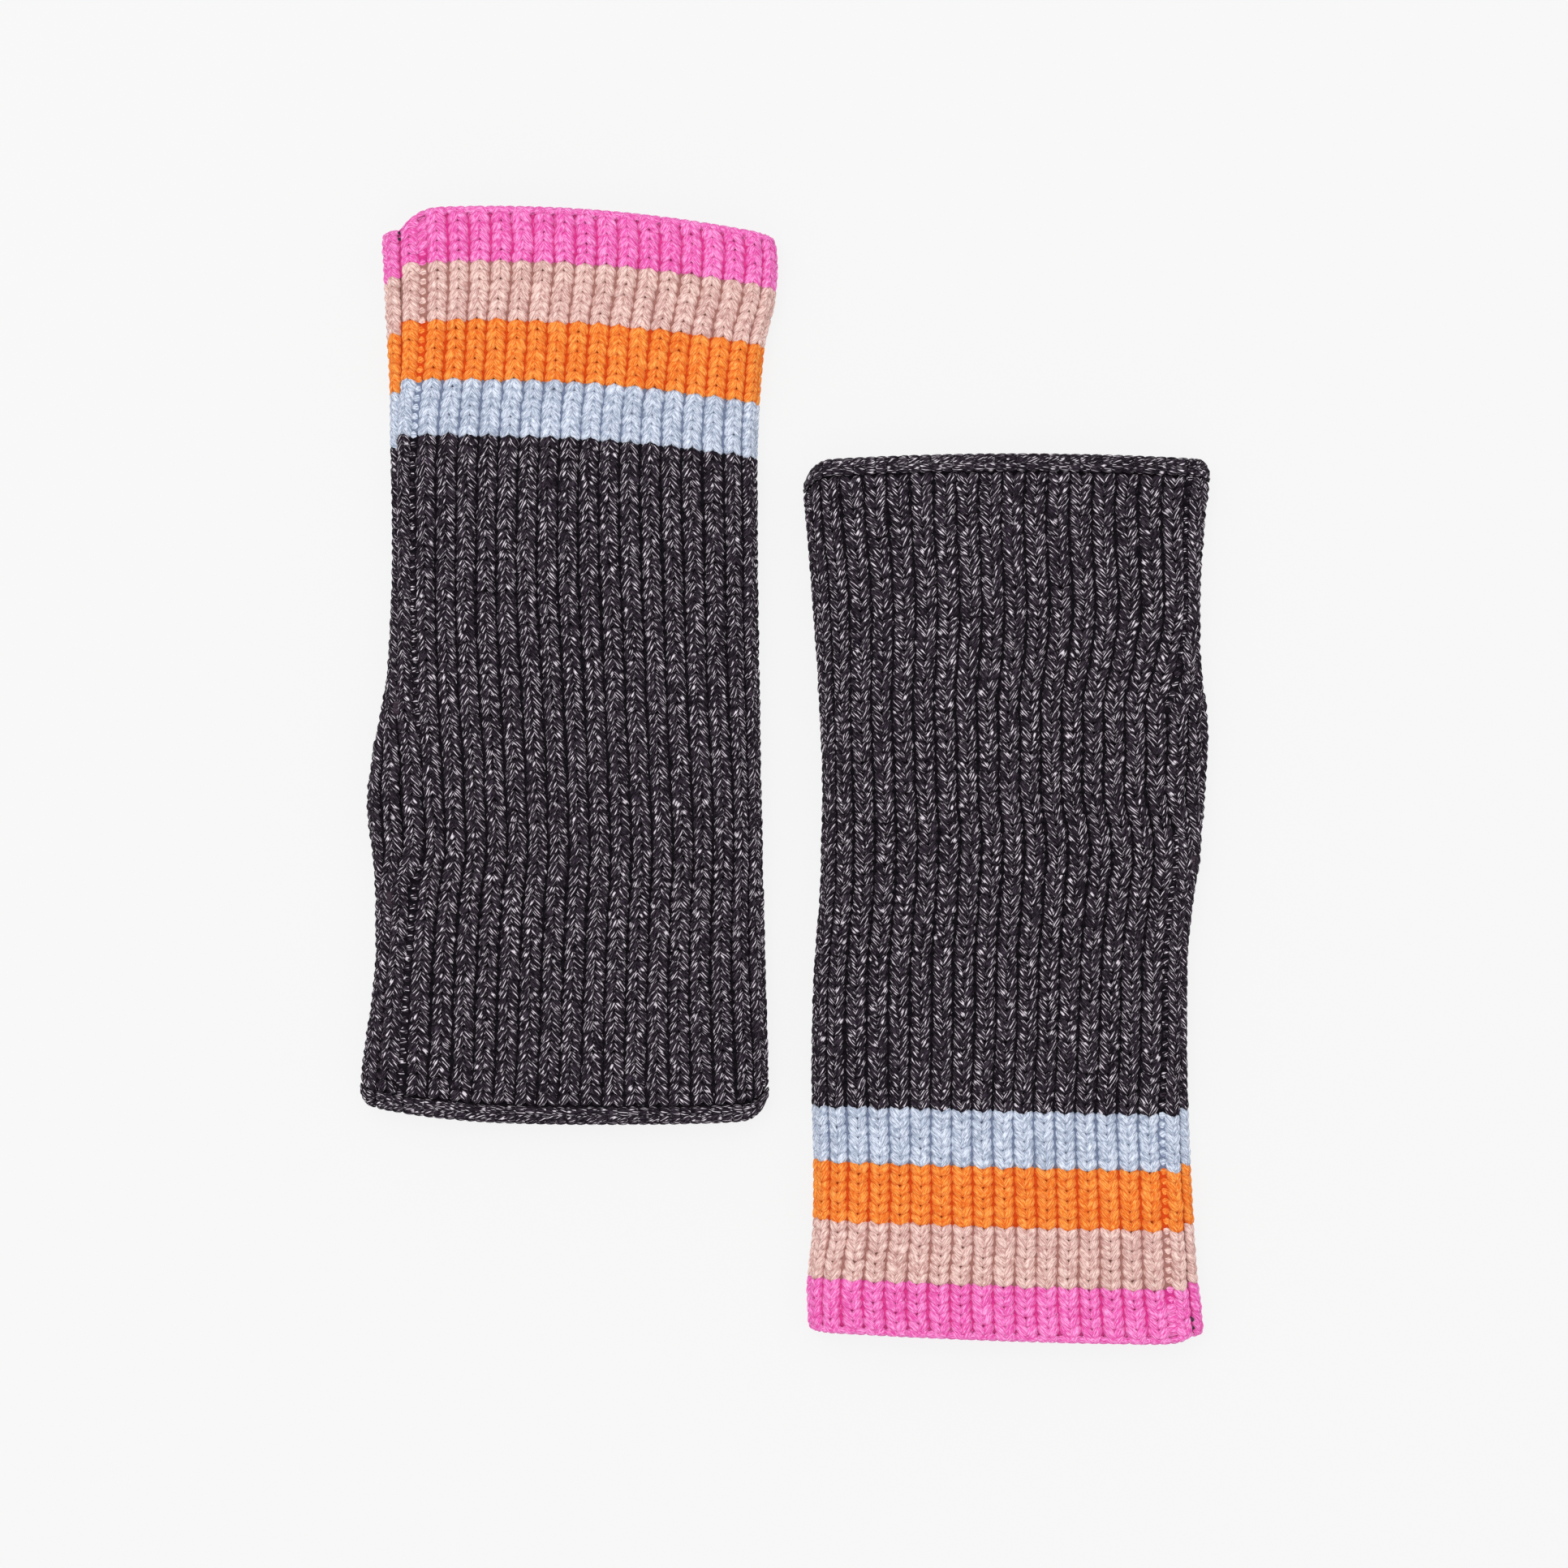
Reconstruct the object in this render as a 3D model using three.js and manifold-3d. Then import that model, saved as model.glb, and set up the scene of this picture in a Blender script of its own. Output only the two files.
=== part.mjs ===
// Pair of fingerless gloves. Each glove is a rib-knitted panel, worked from the
// wrist to the fingers, rolled into a flat tube and sewn up along the thumb side.
// Millimetres, +Z up. The gloves lie side by side on Z = 0 and +Y runs along them.
import * as THREE from 'three';
import { mergeVertices } from 'three/addons/utils/BufferGeometryUtils.js';
import Module from 'manifold-3d';

const wasm = await Module();
wasm.setup();

// One glove, lying flat
const gloveLength = 226;
const gloveWidth = 92;
const gloveHeight = 12;
const fabricThickness = 3.2;

// Knitted lengths from the wrist towards the fingers
const wristEdgeLength = 3.2;
const pinkBandLength = 10.4;
const sandBandLength = 14.6;
const orangeBandLength = 14.8;
const lightBlueBandLength = 13.8;
const fingerEdgeLength = 3.6;

// Seam and thumb opening, both in the middle of the thumb side's curve
const seamWidth = 2.4;
const seamSink = 0.8;
const thumbSlitLength = 45;
const thumbSlitWidth = 5.6;
const thumbSlitToFingers = 54;
const tackLength = 3;

// How the two gloves lie to each other
const betweenGloves = 13.6;
const gloveStagger = 55;

// Clearances and fineness
const pieceGap = 0.3;
const cutOverrun = 1;
const flatSegments = 8;
const sideSegments = 6;
const stepLength = 12;
const slitRunSegments = 6;
const slitEndSegments = 10;

// Each lay lists where a glove's edges stand out from its nominal width, as
// [share of the length, millimetres outwards], and how far its end edges bow.
const leftLay = {
  lengthEase: 0,
  thumbEdge: [[0, 1.4], [0.25, -2], [0.67, 5], [0.79, 3], [1, 7]],
  farEdge: [[0, 1.5], [0.07, 4], [0.27, -0.8], [1, 2]],
  wristBow: { peak: -20, rate: 0.0017 },
  fingerBow: { peak: 10, rate: 0.001 },
};
const rightLay = {
  lengthEase: -6,
  thumbEdge: [[0, 3], [0.38, -0.6], [0.69, 4.6], [0.84, 2.8], [1, 5.2]],
  farEdge: [[0, 0.6], [0.06, 1.8], [0.18, 0.4], [0.31, 1], [0.6, -1.8], [1, 3]],
  wristBow: { peak: -35, rate: 0.0005 },
  fingerBow: { peak: -10, rate: 0.0008 },
};

const finishes = {
  charcoal: { color: 0x46404a, roughness: 0.95, metalness: 0 },
  lightBlue: { color: 0xb6bfd1, roughness: 0.95, metalness: 0 },
  orange: { color: 0xed7f33, roughness: 0.95, metalness: 0 },
  sand: { color: 0xd9b3ab, roughness: 0.95, metalness: 0 },
  pink: { color: 0xed74bc, roughness: 0.95, metalness: 0 },
  seamYarn: { color: 0x2c2830, roughness: 0.95, metalness: 0 },
};

// Values that follow from the sizes above
const halfWidth = gloveWidth / 2;
const sideRadius = gloveHeight / 2;
const flatEnd = halfWidth - sideRadius;
const seamGapWidth = seamWidth + 2 * pieceGap;
const steadySide = sideRadius + cutOverrun;
const cuffLength = wristEdgeLength + pinkBandLength + sandBandLength
  + orangeBandLength + lightBlueBandLength;

// Offset at a share of the length, easing from one station to the next.
function edgeOffset(stations, share) {
  const last = stations[stations.length - 1];
  if (share >= last[0]) return last[1];
  const next = stations.findIndex(([at]) => at > share);
  if (next <= 0) return stations[0][1];
  const [at0, offset0] = stations[next - 1];
  const [at1, offset1] = stations[next];
  const ease = THREE.MathUtils.smoothstep(share, at0, at1);
  return THREE.MathUtils.lerp(offset0, offset1, ease);
}

function bowDepth(bow, x) {
  return bow.rate * (x - bow.peak) ** 2;
}

// Where a point of the straight tube goes when the glove is laid out.
function layPoint(lay, x, along) {
  const share = along / (gloveLength + lay.lengthEase);
  const thumbShift = -edgeOffset(lay.thumbEdge, share);
  const farShift = edgeOffset(lay.farEdge, share);
  const across = (x + halfWidth - steadySide) / (gloveWidth - 2 * steadySide);
  const blend = THREE.MathUtils.clamp(across, 0, 1);
  const shift = THREE.MathUtils.lerp(thumbShift, farShift, blend);
  const wristPull = bowDepth(lay.wristBow, x) * (1 - share);
  const fingerPull = bowDepth(lay.fingerBow, x) * share;
  return { x: x + shift, along: along + wristPull - fingerPull };
}

function layOut(geometry, lay) {
  const positions = geometry.getAttribute('position');
  for (let i = 0; i < positions.count; i += 1) {
    const laid = layPoint(lay, positions.getX(i), -positions.getY(i));
    positions.setXYZ(i, laid.x, -laid.along, positions.getZ(i));
  }
  return geometry;
}

function weld(geometry) {
  geometry.deleteAttribute('normal');
  geometry.deleteAttribute('uv');
  return mergeVertices(geometry, 1e-4);
}

// Points from the top side of the seam gap round the tube to the gap's bottom side.
function wallPath(inset) {
  const radius = sideRadius - inset;
  const gapAngle = Math.asin(seamGapWidth / 2 / radius);
  const points = [];
  const addArc = (centre, from, to, segments) => {
    for (let i = 0; i < segments; i += 1) {
      const angle = THREE.MathUtils.lerp(from, to, i / segments);
      const x = centre + radius * Math.cos(angle);
      points.push(new THREE.Vector2(x, sideRadius + radius * Math.sin(angle)));
    }
  };
  const addFlat = (from, to, y) => {
    for (let i = 0; i < flatSegments; i += 1) {
      points.push(new THREE.Vector2(THREE.MathUtils.lerp(from, to, i / flatSegments), y));
    }
  };
  const lastAngle = -Math.PI + gapAngle;
  addArc(-flatEnd, Math.PI - gapAngle, Math.PI / 2, sideSegments / 2);
  addFlat(-flatEnd, flatEnd, gloveHeight - inset);
  addArc(flatEnd, Math.PI / 2, -Math.PI / 2, sideSegments);
  addFlat(flatEnd, -flatEnd, inset);
  addArc(-flatEnd, -Math.PI / 2, lastAngle, sideSegments / 2);
  const lastX = -flatEnd + radius * Math.cos(lastAngle);
  points.push(new THREE.Vector2(lastX, sideRadius + radius * Math.sin(lastAngle)));
  return points;
}

// A cross-section carried along the glove from one distance to another.
function runAlong(shape, from, to, lay) {
  const steps = Math.max(1, Math.round((to - from) / stepLength));
  const options = { depth: to - from, steps, bevelEnabled: false };
  const geometry = new THREE.ExtrudeGeometry(shape, options);
  geometry.rotateX(Math.PI / 2);
  geometry.translate(0, -from, 0);
  return layOut(weld(geometry), lay);
}

function fabricRun(from, to, lay) {
  const outline = wallPath(0).concat(wallPath(fabricThickness).reverse());
  return runAlong(new THREE.Shape(outline), from, to, lay);
}

// The sewing yarn fills the gap between the panel's two side edges.
function seamRun(from, to, sink, lay) {
  const outside = -halfWidth + sink;
  const inside = -halfWidth + fabricThickness;
  const top = sideRadius + seamWidth / 2;
  const bottom = sideRadius - seamWidth / 2;
  const bevel = seamWidth / 4;
  const shape = new THREE.Shape();
  shape.moveTo(inside, bottom);
  shape.lineTo(inside, top);
  shape.lineTo(outside + bevel, top);
  shape.lineTo(outside, top - bevel);
  shape.lineTo(outside, bottom + bevel);
  shape.lineTo(outside + bevel, bottom);
  return runAlong(shape, from, to, lay);
}

// A slot with round ends, which opens the seam gap for the thumb.
function slitCutter(from, to, lay) {
  const radius = thumbSlitWidth / 2;
  const outline = [];
  const addRun = (height, start, end) => {
    for (let i = 0; i < slitRunSegments; i += 1) {
      const along = THREE.MathUtils.lerp(start, end, i / slitRunSegments);
      outline.push(new THREE.Vector2(-along, height));
    }
  };
  const addRound = (along, firstAngle) => {
    for (let i = 0; i < slitEndSegments; i += 1) {
      const angle = firstAngle + (Math.PI * i) / slitEndSegments;
      const height = sideRadius + radius * Math.sin(angle);
      outline.push(new THREE.Vector2(-along + radius * Math.cos(angle), height));
    }
  };
  addRun(sideRadius - radius, to - radius, from + radius);
  addRound(from + radius, -Math.PI / 2);
  addRun(sideRadius + radius, from + radius, to - radius);
  addRound(to - radius, Math.PI / 2);
  const depth = fabricThickness + 2 * cutOverrun;
  const geometry = new THREE.ExtrudeGeometry(new THREE.Shape(outline), { depth, bevelEnabled: false });
  geometry.rotateX(Math.PI / 2);
  geometry.rotateZ(Math.PI / 2);
  geometry.translate(-halfWidth - cutOverrun, 0, 0);
  return layOut(weld(geometry), lay);
}

function toManifold(geometry) {
  const vertProperties = new Float32Array(geometry.getAttribute('position').array);
  const triVerts = new Uint32Array(geometry.getIndex().array);
  return new wasm.Manifold(new wasm.Mesh({ numProp: 3, vertProperties, triVerts }));
}

function cut(geometry, cutter) {
  const mesh = toManifold(geometry).subtract(toManifold(cutter)).getMesh();
  const result = new THREE.BufferGeometry();
  result.setAttribute('position', new THREE.BufferAttribute(mesh.vertProperties, 3));
  result.setIndex(new THREE.BufferAttribute(mesh.triVerts, 1));
  return result;
}

// Every piece of one glove, with its wrist at the origin and its fingers towards -Y.
function glovePieces(lay) {
  const half = pieceGap / 2;
  const length = gloveLength + lay.lengthEase;
  const slitEnd = length - thumbSlitToFingers;
  const slitStart = slitEnd - thumbSlitLength;
  const bands = [
    ['wrist_edge', wristEdgeLength, 'pink'],
    ['pink_band', pinkBandLength, 'pink'],
    ['sand_band', sandBandLength, 'sand'],
    ['orange_band', orangeBandLength, 'orange'],
    ['light_blue_band', lightBlueBandLength, 'lightBlue'],
  ];
  const pieces = [];
  let from = 0;
  for (const [name, bandLength, finish] of bands) {
    const to = from + bandLength;
    pieces.push([name, fabricRun(from + half, to - half, lay), finish]);
    from = to;
  }
  const handEnd = length - fingerEdgeLength;
  const handTube = fabricRun(cuffLength + half, handEnd - half, lay);
  const handPanel = cut(handTube, slitCutter(slitStart, slitEnd, lay));
  const tackStart = slitStart - tackLength;
  const tackEnd = slitEnd + tackLength;
  pieces.push(['hand_panel', handPanel, 'charcoal']);
  pieces.push(['finger_edge', fabricRun(handEnd + half, length - half, lay), 'charcoal']);
  pieces.push(['cuff_seam', seamRun(half, cuffLength - half, seamSink, lay), 'seamYarn']);
  pieces.push(['wrist_seam', seamRun(cuffLength + half, tackStart - half, seamSink, lay), 'seamYarn']);
  pieces.push(['thumb_tack_wrist', seamRun(tackStart + half, slitStart - half, 0, lay), 'seamYarn']);
  pieces.push(['thumb_tack_fingers', seamRun(slitEnd + half, tackEnd - half, 0, lay), 'seamYarn']);
  pieces.push(['finger_seam', seamRun(tackEnd + half, length - half, seamSink, lay), 'seamYarn']);
  return pieces;
}

function buildGlove(prefix, lay) {
  const glove = new THREE.Group();
  for (const [name, geometry, finish] of glovePieces(lay)) {
    geometry.computeVertexNormals();
    const mesh = new THREE.Mesh(geometry, new THREE.MeshStandardMaterial(finishes[finish]));
    mesh.name = `${prefix}_${name}`;
    glove.add(mesh);
  }
  return glove;
}

const leftGlove = buildGlove('left', leftLay);
const rightGlove = buildGlove('right', rightLay);
rightGlove.rotation.z = Math.PI;
rightGlove.position.set(gloveWidth + betweenGloves, -(gloveLength + gloveStagger), 0);

const gloves = new THREE.Group();
gloves.add(leftGlove, rightGlove);
const middle = new THREE.Box3().setFromObject(gloves, true).getCenter(new THREE.Vector3());
gloves.position.set(-middle.x, -middle.y, 0);

export default gloves;
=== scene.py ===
# Pair of rib-knitted fingerless gloves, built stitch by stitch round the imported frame.
# Lengths in the settings are millimetres, and every mesh is written in metres.
import math

import bpy
import numpy as np
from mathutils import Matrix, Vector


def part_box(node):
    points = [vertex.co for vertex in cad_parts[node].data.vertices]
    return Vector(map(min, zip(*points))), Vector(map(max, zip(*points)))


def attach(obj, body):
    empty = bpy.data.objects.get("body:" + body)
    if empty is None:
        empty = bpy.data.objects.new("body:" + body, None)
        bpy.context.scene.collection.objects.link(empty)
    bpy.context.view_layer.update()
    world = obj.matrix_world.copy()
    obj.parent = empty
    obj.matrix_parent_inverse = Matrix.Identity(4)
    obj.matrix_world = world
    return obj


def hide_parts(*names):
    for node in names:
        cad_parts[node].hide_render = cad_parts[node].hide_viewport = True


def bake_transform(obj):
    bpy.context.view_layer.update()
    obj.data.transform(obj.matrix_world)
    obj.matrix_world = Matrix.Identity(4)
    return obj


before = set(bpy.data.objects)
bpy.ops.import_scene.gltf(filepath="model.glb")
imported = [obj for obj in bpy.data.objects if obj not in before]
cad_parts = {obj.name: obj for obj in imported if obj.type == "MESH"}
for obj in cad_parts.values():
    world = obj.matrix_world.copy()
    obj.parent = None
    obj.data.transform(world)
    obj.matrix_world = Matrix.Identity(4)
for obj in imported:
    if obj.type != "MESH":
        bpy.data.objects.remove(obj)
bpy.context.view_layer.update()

mm = 0.001
rng = np.random.default_rng(11)
scene = bpy.context.scene
scene.view_settings.view_transform = "Standard"


# The flat tube that both gloves share

tube = {
    "width": 92,
    "height": 12,
    "length": 226,
    "wall": 3.2,
    "steadySide": 7,        # from the side edges, this much moves without stretching
    "crownDrop": 0.2,       # the rib crowns stay this far inside the solid's faces
    "cornerFade": 16,       # rounding of the finger corners reaches this far along
    "cornerKeep": 0.93,     # share of a corner's radius that is rounded, short of its steep end
    "rimProud": 0.1,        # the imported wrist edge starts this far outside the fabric's fold
}
sideRadius = tube["height"] / 2
flatWidth = tube["width"] - tube["height"]
quarter = math.pi * sideRadius / 2
girth = 2 * flatWidth + 4 * quarter
farSide = 2 * quarter + flatWidth       # arc length to the middle of the far side

# Knitted bands from the wrist: yarn and length
bands = [("pink", 13.6), ("sand", 14.6), ("orange", 14.8), ("lightBlue", 13.8)]
cuffLength = sum(band[1] for band in bands)

# How each glove lies. thumbEdge and farEdge are how far its sides stand out, by share
# of the length. ladder is where the sunk column beside the seam runs, as arc length
# from the middle of the thumb side. flap is how far the seam line moves over the front.
# The bows are the middle, amount and power of an end's curve.
gloves = {
    "left": {
        "turn": 1,              # 1 with its wrist towards +Y, -1 towards -Y
        "lengthEase": 0.2,      # added to the tube's length
        "thumbEdge": [(0, 1.6), (0.1, 0.7), (0.22, -0.3), (0.38, -0.8), (0.44, -0.4), (0.5, 0.5),
                      (0.55, 2.1), (0.6, 4.3), (0.65, 5.5), (0.75, 3.4), (0.82, 3.3), (0.88, 4.4),
                      (0.94, 6.2), (1, 7.1)],
        "farEdge": [(0, 3.9), (0.03, 4.5), (0.07, 3.9), (0.12, 1.4), (0.17, 0.3), (0.25, -0.5),
                    (0.36, -0.4), (0.6, 0.35), (0.82, 1.4), (1, 2.3)],
        "wristBow": (-20, 0.0017, 2),
        "fingerBow": (10, 0.00003, 3),
        "fingerRounds": (3, 7),     # corner radii, thumb side first
        "cornerPull": 5,        # the seam draws the front's wrist corner in this much
        "backSlip": 5.6,        # and the back's courses towards the fingers
        "backPull": 2.4,        # and the back's wrist corner
        "farOver": 2.35,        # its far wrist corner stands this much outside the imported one
        "ladder": [(0, 12.8), (14, 12.6), (36, 11.4), (55, 9.2), (70, 8.2), (88, 8.2), (101, 9),
                   (120, 11.4), (139, 15.3), (150, 16.2), (158, 15.7), (171, 13), (191, 11.4),
                   (216, 12.6)],
        "flap": [(118, 0), (126, 0.2), (138, 1.1), (158, 1.1), (166, 0), (171, -1), (178, 0)],
        "slit": (127, 172),     # clear run along the seam
    },
    "right": {
        "turn": -1,
        "lengthEase": -6.5,
        "thumbEdge": [(0, 4.3), (0.03, 3.9), (0.07, 2.8), (0.13, 1.9), (0.24, 0.7), (0.33, 0.2),
                      (0.42, 0.3), (0.5, 1.9), (0.54, 3.4), (0.6, 4.4), (0.69, 5.4), (0.785, 3.5),
                      (0.85, 3.6), (0.93, 4.6), (1, 5.9)],
        "farEdge": [(0, 1.7), (0.04, 2.1), (0.07, 1.75), (0.12, 0.6), (0.185, 0.45), (0.3, 1),
                    (0.4, 0.5), (0.52, -1.2), (0.62, -1.7), (0.73, -0.8), (0.86, 1.1), (1, 3)],
        "wristBow": (-52, 0.00035, 2),
        "fingerBow": (-2, 0.0008, 2),
        "fingerRounds": (3, 7),
        "cornerPull": 1.9,
        "backSlip": 2.6,
        "backPull": 0.6,
        "farOver": 0.95,
        "ladder": [(0, 10.6), (31, 10), (51, 10), (77, 8.6), (109, 9), (124, 9.6), (138, 12.6),
                   (155, 12.6), (171, 8), (184, 6.2), (209, 7.8)],
        "flap": [(112, 0), (121, 0.2), (132, 1), (152, 1), (160, 0), (166, -0.9), (172, 0)],
        "slit": (121, 166),
    },
}


def easeBetween(stations, at):
    # smooth curve through the stations that never swings past them
    places = np.array([s[0] for s in stations], float)
    values = np.array([s[1] for s in stations], float)
    steps = np.diff(values) / np.diff(places)
    slopes = np.zeros(len(values))
    same = steps[:-1] * steps[1:] > 0
    slopes[1:-1][same] = 2 * (steps[:-1] * steps[1:])[same] / (steps[:-1] + steps[1:])[same]
    i = np.clip(np.searchsorted(places, at, side="right") - 1, 0, len(places) - 2)
    wide = places[i + 1] - places[i]
    t = np.clip((at - places[i]) / wide, 0, 1)
    rise = t * t * (3 - 2 * t)
    swing = wide * (slopes[i] * t * (1 - t) ** 2 - slopes[i + 1] * t * t * (1 - t))
    return values[i] + (values[i + 1] - values[i]) * rise + swing


def roundTube(arc):
    # place and outward direction on the flat tube's outline, from the thumb side over the top
    arc = np.mod(arc, girth)
    top = arc - quarter
    far = top - flatWidth
    under = far - 2 * quarter
    back = under - flatWidth
    angle = np.where(top < 0, math.pi - arc / sideRadius, math.pi / 2)
    angle = np.where(far > 0, math.pi / 2 - np.clip(far, 0, 2 * quarter) / sideRadius, angle)
    angle = np.where(back > 0, -math.pi / 2 - back / sideRadius, angle)
    centre = np.clip(top, 0, flatWidth) - np.clip(under, 0, flatWidth) - flatWidth / 2
    across, up = np.cos(angle), np.sin(angle)
    return centre + sideRadius * across, sideRadius + sideRadius * up, across, up


def rollRims(run, length):
    # the fabric turns inwards round each open end; run is measured along the fabric
    bend = tube["wall"] / 2
    fromEnd = np.minimum(run, length - run)
    turn = np.clip((bend - fromEnd) / bend, 0, math.pi)
    inside = np.clip((bend - fromEnd) - math.pi * bend, 0, None)
    place = np.where(fromEnd < bend, bend - bend * np.sin(turn) + inside, fromEnd)
    depth = np.where(fromEnd < bend, -bend + bend * np.cos(turn), 0.0)
    alongNormal, upNormal = -np.sin(turn), np.cos(turn)
    nearWrist = run < length / 2
    return (np.where(nearWrist, place, length - place), depth,
            np.where(nearWrist, alongNormal, -alongNormal), upNormal)


def bow(setting, across):
    middle, amount, power = setting
    return amount * np.abs(across - middle) ** power


def roundCorners(radii, across, toEnd):
    # how far the finger end is drawn back at its two rounded corners
    half = tube["width"] / 2
    drawn = 0
    for radius, edge in zip(radii, (half + across, half - across)):
        near = np.clip(1 - edge / radius, 0, tube["cornerKeep"])
        drawn = drawn + radius * (1 - np.sqrt(1 - near ** 2))
    fade = np.clip(1 - toEnd / tube["cornerFade"], 0, 1)
    return drawn * fade * fade * (3 - 2 * fade)


def gloveLengthOf(glove):
    return tube["length"] + glove["lengthEase"]


def layGlove(glove, arc, run, height):
    # arc round the tube, run along the fabric, height above the outer face -> glove plane
    length = gloveLengthOf(glove)
    along, depth, alongNormal, upNormal = rollRims(run, length)
    along = along + height * alongNormal
    depth = depth + height * upNormal - tube["crownDrop"]
    x, z, nx, nz = roundTube(arc)
    x, z = x + nx * depth, z + nz * depth
    half, steady = tube["width"] / 2, tube["steadySide"]
    share = along / length
    across = np.clip((x + half - steady) / (tube["width"] - 2 * steady), 0, 1)
    thumb = -easeBetween(glove["thumbEdge"], share)
    far = easeBetween(glove["farEdge"], share)
    along = along + bow(glove["wristBow"], x) * (1 - share) - bow(glove["fingerBow"], x) * share
    along = along - roundCorners(glove["fingerRounds"], x, length * (1 - share))
    return x + thumb + (far - thumb) * across, along, z


def findCorner(side, glove):
    # the glove plane's origin in the row frame, from its packed wrist edge
    low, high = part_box(side + "_wrist_edge")
    samples = 400
    arc = np.linspace(0, girth, samples)
    run = np.full(samples, tube["wall"] / 2)
    x, along, z = layGlove(glove, arc, run, np.full(samples, tube["crownDrop"]))
    toRim = -tube["rimProud"] - tube["wall"] / 2
    farReach = x.max() - glove["farOver"]
    if glove["turn"] > 0:
        return high.x - farReach * mm, high.y + (along.min() + toRim) * mm
    return low.x + farReach * mm, low.y - (along.min() + toRim) * mm


for side, glove in gloves.items():
    glove["corner"] = findCorner(side, glove)
    print(side, "glove starts at", [round(v, 4) for v in glove["corner"]])


def toFrame(glove, x, along, z):
    cornerX, cornerY = glove["corner"]
    turn = glove["turn"]
    return np.stack([cornerX + turn * x * mm, cornerY - turn * along * mm, z * mm], axis=-1)


# Where the knitted columns run

knit = {
    "frontWales": 17.3,     # columns from the ladder to the far side's middle
    "backWales": 20.7,      # from there round the back to the seam
    "ladderHalf": 1.3,      # half the sunk column's width
    "waleOneOff": -3.65,    # to the column beside the seam, from the ladder's far edge
    "waleOneNarrow": 0.92,
    "lastWaleOff": 0.45,    # the back's last column sits this much closer to the seam
    "seamOff": -5.4,        # to the seam, from the ladder's middle
    "plainPitch": 5.12,     # width of a column as it was knitted
    "frontPitch": 5,        # rough widths of a column as it lies: in front, behind and on average
    "backPitch": 4.9,
    "meanPitch": 5.02,
    "wander": 0.3,          # columns sway this much
    "slipRise": 9,          # the back's courses slip most this far from the seam
    "pullReach": 10.5,      # the front's wrist corner is drawn in over this much
    "rimReach": 6,          # what the seam draws in at the wrist fades over this much
    "flapLift": 0.25,       # the column beside the slit rises by this share of the flap
    "bandCourses": 6,       # in every band but the pink one
    "cuffCourse": 2.4,      # course pitch in the pink yarn
    "handCourse": 2.56,     # and in the charcoal yarn
    "wristInside": 13,      # courses go on this far inside the wrist
    "handGap": 4.9,         # from the last course to the finger opening
}


def arcOf(glove, wale, off, run):
    # wale 0 starts beside the ladder, frontWales is the far side, and the seam comes backWales on
    ladder = easeBetween(glove["ladder"], run)
    start = ladder + knit["ladderHalf"]
    end = girth + ladder + knit["seamOff"] + easeBetween(glove["flap"], run)
    front = np.clip(wale / knit["frontWales"], 0, 1)
    back = np.clip((wale - knit["frontWales"]) / knit["backWales"], 0, 1)
    arc = start + (farSide - start) * front + (end - farSide) * back
    pitch = np.where(wale < knit["frontWales"], (farSide - start) / knit["frontWales"],
                     (end - farSide) / knit["backWales"])
    numbered = wale > 0.01      # wale 0, beside the seam, keeps its own place and width
    off = off * np.where(numbered, pitch / knit["plainPitch"], 1)
    # two slow waves along the columns
    sway = np.sin(run * 0.035 + wale * 0.25) + 0.5 * np.sin(run * 0.09 + wale * 0.45)
    return arc + off + knit["wander"] * sway * np.where(numbered, 1, 0)


def slipOf(glove, wale, off, run):
    # how far courses are drawn along the glove beside the seam
    length = gloveLengthOf(glove)
    fade = np.clip(1 - run / length, 0, 1)
    back = np.clip((wale - knit["frontWales"]) / knit["backWales"], 0, 1)
    toSeam = (1 - back) * knit["backWales"] * knit["backPitch"]
    fromSeam = np.clip(toSeam / knit["slipRise"], 0, 1)
    slip = glove["backSlip"] * back ** 2 * (0.5 + 0.5 * fromSeam) * np.sqrt(fade)
    past = wale * knit["frontPitch"] + off - knit["seamOff"]
    seamward = np.clip(1 - past / knit["pullReach"], 0, 1)
    nearRim = np.exp(-np.clip(run, 0, None) / knit["rimReach"])
    pull = glove["cornerPull"] * seamward ** 3 * nearRim
    backPull = glove["backPull"] * back ** 8 * nearRim * (1 - 0.5 * fromSeam)
    return slip + np.where(wale < knit["frontWales"], pull, backPull)


# One stitch leg, modelled once

strandShape = {"segments": 7, "rings": 6, "plump": 0.5}     # plump: 1 is a ball, less is a sausage


def deselectAll():
    if bpy.context.object and bpy.context.object.mode != "OBJECT":
        bpy.ops.object.mode_set(mode="OBJECT")
    bpy.ops.object.select_all(action="DESELECT")


def modelStrand(name):
    # a short plump length of yarn along X, from -1 to 1; its UVs run round it and along it
    rings = strandShape["rings"]
    deselectAll()
    bpy.ops.mesh.primitive_uv_sphere_add(segments=strandShape["segments"], ring_count=rings, radius=1)
    strand = bpy.context.object
    strand.name = name
    bpy.ops.object.mode_set(mode="EDIT")
    bpy.ops.mesh.select_all(action="SELECT")
    about = dict(orient_type="GLOBAL", center_override=(0, 0, 0))
    bpy.ops.transform.rotate(value=math.radians(90), orient_axis="Y", **about)
    bpy.ops.object.mode_set(mode="OBJECT")
    for ring in range(1, rings):
        at = math.cos(math.pi * ring / rings)
        wide = math.sin(math.pi * ring / rings)
        grow = wide ** strandShape["plump"] / wide
        for v in strand.data.vertices:
            v.select = abs(v.co.x - at) < 0.02      # the points of this ring only
        bpy.ops.object.mode_set(mode="EDIT")
        about["center_override"] = (at, 0, 0)
        bpy.ops.transform.resize(value=(1, grow, grow), **about)
        bpy.ops.object.mode_set(mode="OBJECT")
        for edge in strand.data.edges:
            edge.select = False
        for face in strand.data.polygons:
            face.select = False
    deselectAll()
    return strand


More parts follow.
